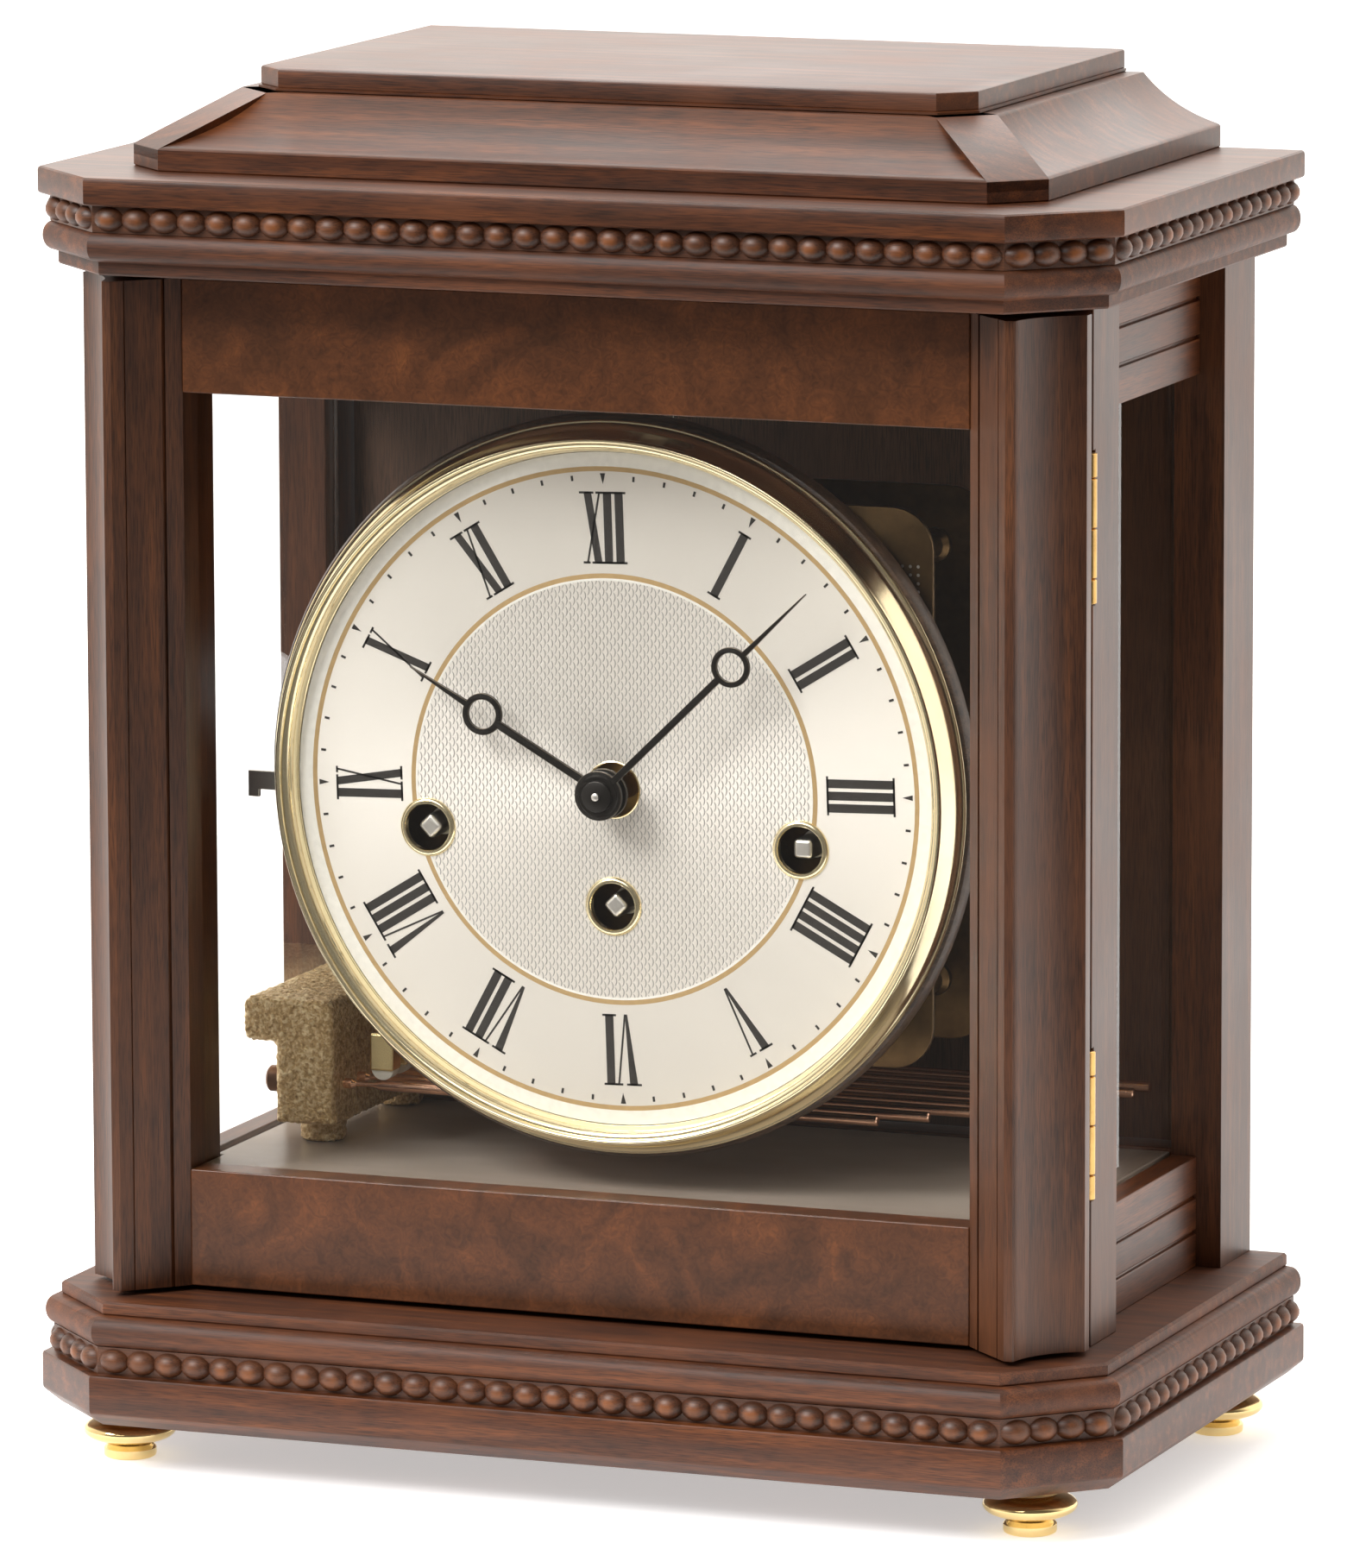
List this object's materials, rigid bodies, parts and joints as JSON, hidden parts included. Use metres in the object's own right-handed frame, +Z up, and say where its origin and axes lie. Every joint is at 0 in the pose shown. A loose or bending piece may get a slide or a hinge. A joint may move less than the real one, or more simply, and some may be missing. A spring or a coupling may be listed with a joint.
{
  "type": "bracket clock",
  "caption": "Wooden bracket clock with bead mouldings, a glazed front door, glazed sides, a round dial with hands, and a chiming movement with rods and hammers inside.",
  "frame": {"origin": "on the table, at the middle of the case's width and depth", "axes": "+Z up, -Y is the front with the dial, +X is to the right of a person who looks at the dial"},
  "size_m": [0.2406, 0.1372, 0.2914],
  "materials": {
    "walnut": "dark walnut, satin lacquer",
    "burl_veneer": "burl walnut veneer, gloss lacquer",
    "floor_lacquer": "thin board, gloss lacquer",
    "foot_brass": "polished and lacquered",
    "hinge_brass": "satin",
    "bezel_brass": "polished and lacquered",
    "plate_brass": "polished",
    "hammer_brass": "polished, with a pale plastic tip",
    "chime_bronze": "rough casting painted bronze, with coppered rods",
    "dial_silver": "silvered, with printed numerals",
    "black_hands": "gloss black",
    "steel": "plain",
    "pane_glass": "clear float glass"
  },
  "bodies": {
    "case": {"base_plinth": "walnut", "base_bead_moulding": "walnut", "base_top_board": "walnut", "foot_front_left": "foot_brass", "foot_front_right": "foot_brass", "foot_rear_left": "foot_brass", "foot_rear_right": "foot_brass", "front_stile_left": "walnut", "front_stile_right": "walnut", "rear_post_left": "walnut", "rear_post_right": "walnut", "side_bottom_rail_left": "walnut", "side_bottom_rail_right": "walnut", "side_top_rail_left": "walnut", "side_top_rail_right": "walnut", "side_glass_left": "pane_glass", "side_glass_right": "pane_glass", "floor_board": "floor_lacquer", "back_bottom_rail": "walnut", "back_top_rail": "walnut", "rear_hinge_case_leaf": "hinge_brass", "cornice_soffit_board": "walnut", "cornice_bead_moulding": "walnut", "cornice_top_board": "walnut", "lid_cove_body": "walnut", "lid_top_board": "walnut", "door_hinge_lower_case_leaf": "hinge_brass", "door_hinge_upper_case_leaf": "hinge_brass", "door_catch": "steel", "dial_ring": "walnut", "dial_plate": "dial_silver", "bezel": "bezel_brass", "movement_front_plate": "plate_brass", "movement_back_plate": "plate_brass", "movement_hanger": "steel", "chime_block": "chime_bronze"},
    "front_door": {"door_stile_left": "walnut", "door_stile_right": "walnut", "door_bottom_rail": "burl_veneer", "door_top_rail": "burl_veneer", "door_glass": "pane_glass", "door_hinge_lower_door_leaf": "hinge_brass", "door_hinge_upper_door_leaf": "hinge_brass"},
    "back_door": {"rear_door": "walnut", "rear_hinge_door_leaf": "hinge_brass"},
    "hour_hand_body": {"hour_hand": "black_hands"},
    "minute_hand_body": {"minute_hand": "black_hands"},
    "winding_left_body": {"winding_arbor_left": "steel"},
    "winding_centre_body": {"winding_arbor_centre": "steel"},
    "winding_right_body": {"winding_arbor_right": "steel"},
    "balance_body": {"balance_wheel": "plate_brass"},
    "silence_lever_body": {"silence_lever": "steel"},
    "hammer_1_body": {"chime_hammer_1": "hammer_brass"},
    "hammer_2_body": {"chime_hammer_2": "hammer_brass"},
    "hammer_3_body": {"chime_hammer_3": "hammer_brass"},
    "hammer_4_body": {"chime_hammer_4": "hammer_brass"},
    "hammer_5_body": {"chime_hammer_5": "hammer_brass"},
    "hammer_6_body": {"chime_hammer_6": "hammer_brass"},
    "hammer_7_body": {"chime_hammer_7": "hammer_brass"},
    "hammer_8_body": {"chime_hammer_8": "hammer_brass"}
  },
  "joints": [
    {"name": "front_door_swing", "type": "hinge", "parent": "case", "child": "front_door", "pos_m": [0.1076, -0.03485, 0.15], "axis": [0, 0, 1], "range_deg": [0, 120]},
    {"name": "back_door_swing", "type": "hinge", "parent": "case", "child": "back_door", "pos_m": [0.0934, 0.06705, 0.146], "axis": [0, 0, -1], "range_deg": [0, 110]},
    {"name": "minute_hand_turn", "type": "hinge", "parent": "case", "child": "minute_hand_body", "pos_m": [0, -0.03, 0.1438], "axis": [0, 1, 0], "continuous": true},
    {"name": "hour_hand_turn", "type": "hinge", "parent": "case", "child": "hour_hand_body", "pos_m": [0, -0.028, 0.1438], "axis": [0, 1, 0], "continuous": true},
    {"name": "winding_left_turn", "type": "hinge", "parent": "case", "child": "winding_left_body", "pos_m": [-0.04147, 0, 0.1336], "axis": [0, 1, 0], "continuous": true},
    {"name": "winding_centre_turn", "type": "hinge", "parent": "case", "child": "winding_centre_body", "pos_m": [0, 0, 0.11928], "axis": [0, 1, 0], "continuous": true},
    {"name": "winding_right_turn", "type": "hinge", "parent": "case", "child": "winding_right_body", "pos_m": [0.04147, 0, 0.1336], "axis": [0, 1, 0], "continuous": true},
    {"name": "balance_swing", "type": "hinge", "parent": "case", "child": "balance_body", "pos_m": [0, 0.0245, 0.17777], "axis": [0, 1, 0], "range_deg": [-135, 135]},
    {"name": "silence_lever_lift", "type": "hinge", "parent": "case", "child": "silence_lever_body", "pos_m": [-0.06102, -0.015, 0.1398], "axis": [0, 1, 0], "range_deg": [0, 8]},
    {"name": "hammer_1_lift", "type": "hinge", "parent": "case", "child": "hammer_1_body", "pos_m": [-0.046, 0.0015, 0.0972], "axis": [0, 1, 0], "range_deg": [0, 12]},
    {"name": "hammer_2_lift", "type": "hinge", "parent": "case", "child": "hammer_2_body", "pos_m": [-0.046, 0.0092, 0.0972], "axis": [0, 1, 0], "range_deg": [0, 12]},
    {"name": "hammer_3_lift", "type": "hinge", "parent": "case", "child": "hammer_3_body", "pos_m": [-0.046, 0.0169, 0.0972], "axis": [0, 1, 0], "range_deg": [0, 12]},
    {"name": "hammer_4_lift", "type": "hinge", "parent": "case", "child": "hammer_4_body", "pos_m": [-0.046, 0.0246, 0.0972], "axis": [0, 1, 0], "range_deg": [0, 12]},
    {"name": "hammer_5_lift", "type": "hinge", "parent": "case", "child": "hammer_5_body", "pos_m": [-0.046, 0.0323, 0.0972], "axis": [0, 1, 0], "range_deg": [0, 12]},
    {"name": "hammer_6_lift", "type": "hinge", "parent": "case", "child": "hammer_6_body", "pos_m": [-0.046, 0.04, 0.0972], "axis": [0, 1, 0], "range_deg": [0, 12]},
    {"name": "hammer_7_lift", "type": "hinge", "parent": "case", "child": "hammer_7_body", "pos_m": [-0.046, 0.0477, 0.0972], "axis": [0, 1, 0], "range_deg": [0, 12]},
    {"name": "hammer_8_lift", "type": "hinge", "parent": "case", "child": "hammer_8_body", "pos_m": [-0.046, 0.0554, 0.0972], "axis": [0, 1, 0], "range_deg": [0, 12]}
  ],
  "couplings": [
    {"joint": "hour_hand_turn", "follows": "minute_hand_turn", "ratio": 0.083333}
  ]
}
